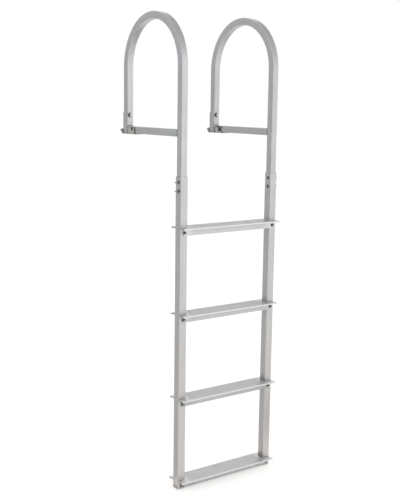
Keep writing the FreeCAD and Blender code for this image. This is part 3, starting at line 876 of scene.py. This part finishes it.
# Each card's place, the place it faces, its width, height and colour
CARDS = {
    "high_card": ((1.6, -0.4, 2.4), (0.9, -0.3, 0.2), 5.0, 5.0, grey(1.0)),
    "left_card": ((-2.27, 1.31, 0.0), (-0.47, -0.79, 0.0), 2.7, 2.5, (0.97, 0.99, 1.0, 1.0)),
    "left_back_card": ((-0.67, 2.68, 0.0), (1.13, 0.58, 0.0), 1.5, 2.5, grey(0.6)),
    "left_floor_card": ((-1.4, 1.2, -1.24), (-1.4, 1.2, 0.0), 3.4, 3.0, grey(0.85)),
    "back_card": ((2.9, 3.7, 0.35), (0.2, -0.3, 0.35), 5.0, 1.3, grey(0.85)),
    "right_floor_card": ((1.15, -0.2, -1.24), (1.15, -0.2, 0.0), 1.1, 1.4, grey(0.6)),
    "camera_card": ((-3.4, -3.2, 0.3), (0.1, -0.3, 0.0), 4.0, 3.0, grey(0.04)),
}


def seen_rays(tree):
    """A socket that is 1 for what the camera, metal or glass sees, and 0 for other light."""
    path = tree.nodes.new("ShaderNodeLightPath")
    seen = path.outputs["Is Camera Ray"]
    for name in ("Is Glossy Ray", "Is Transmission Ray"):
        either = tree.nodes.new("ShaderNodeMath")
        either.operation = "MAXIMUM"
        tree.links.new(seen, either.inputs[0])
        tree.links.new(path.outputs[name], either.inputs[1])
        seen = either.outputs[0]
    return seen


def square(width, height):
    """The corners of a level rectangle about the origin."""
    return [Vector((i * width / 2, j * height / 2, 0))
            for i, j in ((-1, -1), (1, -1), (1, 1), (-1, 1))]


def panel(name, corners, colour):
    """A flat sheet of matt paint, with its material's tree."""
    data = bpy.data.meshes.new(name)
    data.from_pydata(corners, [], [(0, 1, 2, 3)])
    sheet = bpy.data.objects.new(name, data)
    bpy.context.scene.collection.objects.link(sheet)
    material = bpy.data.materials.new(name + "_paint")
    material.use_nodes = True
    tree = material.node_tree
    tree.nodes.clear()
    paint = tree.nodes.new("ShaderNodeBsdfDiffuse")
    paint.inputs["Color"].default_value = colour
    output = tree.nodes.new("ShaderNodeOutputMaterial")
    tree.links.new(paint.outputs[0], output.inputs["Surface"])
    data.materials.append(material)
    return sheet, tree, paint, output


def make_floor():
    """A wide floor whose paint the camera, metal and glass see with a little extra light."""
    middle = (low_corner + high_corner) / 2
    middle.z = low_corner.z
    corners = [middle + corner for corner in square(2 * FLOOR_REACH, 2 * FLOOR_REACH)]
    _, tree, paint, output = panel("floor", corners, FLOOR_COLOUR)
    glow = tree.nodes.new("ShaderNodeEmission")
    lift = tree.nodes.new("ShaderNodeMath")
    lift.operation = "MULTIPLY"
    lift.inputs[1].default_value = FLOOR_LIFT
    both = tree.nodes.new("ShaderNodeAddShader")
    tree.links.new(seen_rays(tree), lift.inputs[0])
    tree.links.new(lift.outputs[0], glow.inputs["Strength"])
    tree.links.new(paint.outputs[0], both.inputs[0])
    tree.links.new(glow.outputs[0], both.inputs[1])
    tree.links.new(both.outputs[0], output.inputs["Surface"])


def make_surround():
    """White where the camera, metal and glass see it, and a plain level of light elsewhere."""
    world = bpy.data.worlds.new("surround")
    world.use_nodes = True
    bpy.context.scene.world = world
    tree = world.node_tree
    back = tree.nodes["Background"]
    level = tree.nodes.new("ShaderNodeMapRange")
    level.inputs["To Min"].default_value = SURROUND_LIGHT
    level.inputs["To Max"].default_value = 1.0
    tree.links.new(seen_rays(tree), level.inputs["Value"])
    back.inputs["Color"].default_value = SURROUND_COLOUR
    tree.links.new(level.outputs[0], back.inputs["Strength"])


def card(name, place, target, width, height, colour):
    """A card that faces a target, seen only by reflections, for the metal to mirror."""
    turn = (Vector(target) - Vector(place)).to_track_quat("-Z", "Y").to_matrix().to_4x4()
    lay_out = Matrix.Translation(place) @ turn
    sheet = panel(name, [lay_out @ corner for corner in square(width, height)], colour)[0]
    sheet.visible_camera = False
    sheet.visible_shadow = False
    sheet.visible_diffuse = False


def soft_lamp(name, place, width, height, power):
    """A large soft box that faces the ladder."""
    data = bpy.data.lights.new(name, "AREA")
    data.shape = "RECTANGLE"
    data.size, data.size_y = width, height
    data.energy = power
    lamp = bpy.data.objects.new(name, data)
    lamp.location = place
    lamp.rotation_mode = "QUATERNION"
    lamp.rotation_quaternion = (Vector(LAMP_TARGET) - Vector(place)).to_track_quat("-Z", "Y")
    bpy.context.scene.collection.objects.link(lamp)


make_floor()
make_surround()
for name, lamp in LAMPS.items():
    soft_lamp(name, *lamp)
for name, sheet in CARDS.items():
    card(name, *sheet)


# Camera: the photograph's place, turn and lens, solved from the ladder's edges
CAMERA_PLACE = Vector((-1.7206, -2.8700, 0.1322))
CAMERA_YAW, CAMERA_PITCH, CAMERA_ROLL = map(math.radians, (-35.626, -9.934, 0.785))
CAMERA_CLIP = (0.05, 100.0)
PHOTO_HEIGHT = 500
FOCAL_PIXELS = 899.55
CENTRE_PIXEL = (201.21, 255.66)
PHOTO_CENTRE = (200, 250)
SENSOR = 36.0


def make_camera():
    """The camera, whose shift moves the picture's middle to where the photograph has it."""
    forward = Vector((
        -math.sin(CAMERA_YAW) * math.cos(CAMERA_PITCH),
        math.cos(CAMERA_YAW) * math.cos(CAMERA_PITCH),
        math.sin(CAMERA_PITCH),
    ))
    level = Vector((math.cos(CAMERA_YAW), math.sin(CAMERA_YAW), 0))
    above = level.cross(forward)
    right = level * math.cos(CAMERA_ROLL) + above * math.sin(CAMERA_ROLL)
    up = above * math.cos(CAMERA_ROLL) - level * math.sin(CAMERA_ROLL)
    data = bpy.data.cameras.new("photo_camera")
    data.sensor_width = SENSOR
    data.lens = FOCAL_PIXELS * SENSOR / PHOTO_HEIGHT
    data.shift_x = (PHOTO_CENTRE[0] - CENTRE_PIXEL[0]) / PHOTO_HEIGHT
    data.shift_y = (CENTRE_PIXEL[1] - PHOTO_CENTRE[1]) / PHOTO_HEIGHT
    data.clip_start, data.clip_end = CAMERA_CLIP
    camera = bpy.data.objects.new("photo_camera", data)
    turn = Matrix((right, up, -forward)).transposed().to_4x4()
    camera.matrix_world = Matrix.Translation(CAMERA_PLACE) @ turn
    bpy.context.scene.collection.objects.link(camera)
    bpy.context.scene.camera = camera


make_camera()
bpy.context.scene.view_settings.view_transform = "Standard"
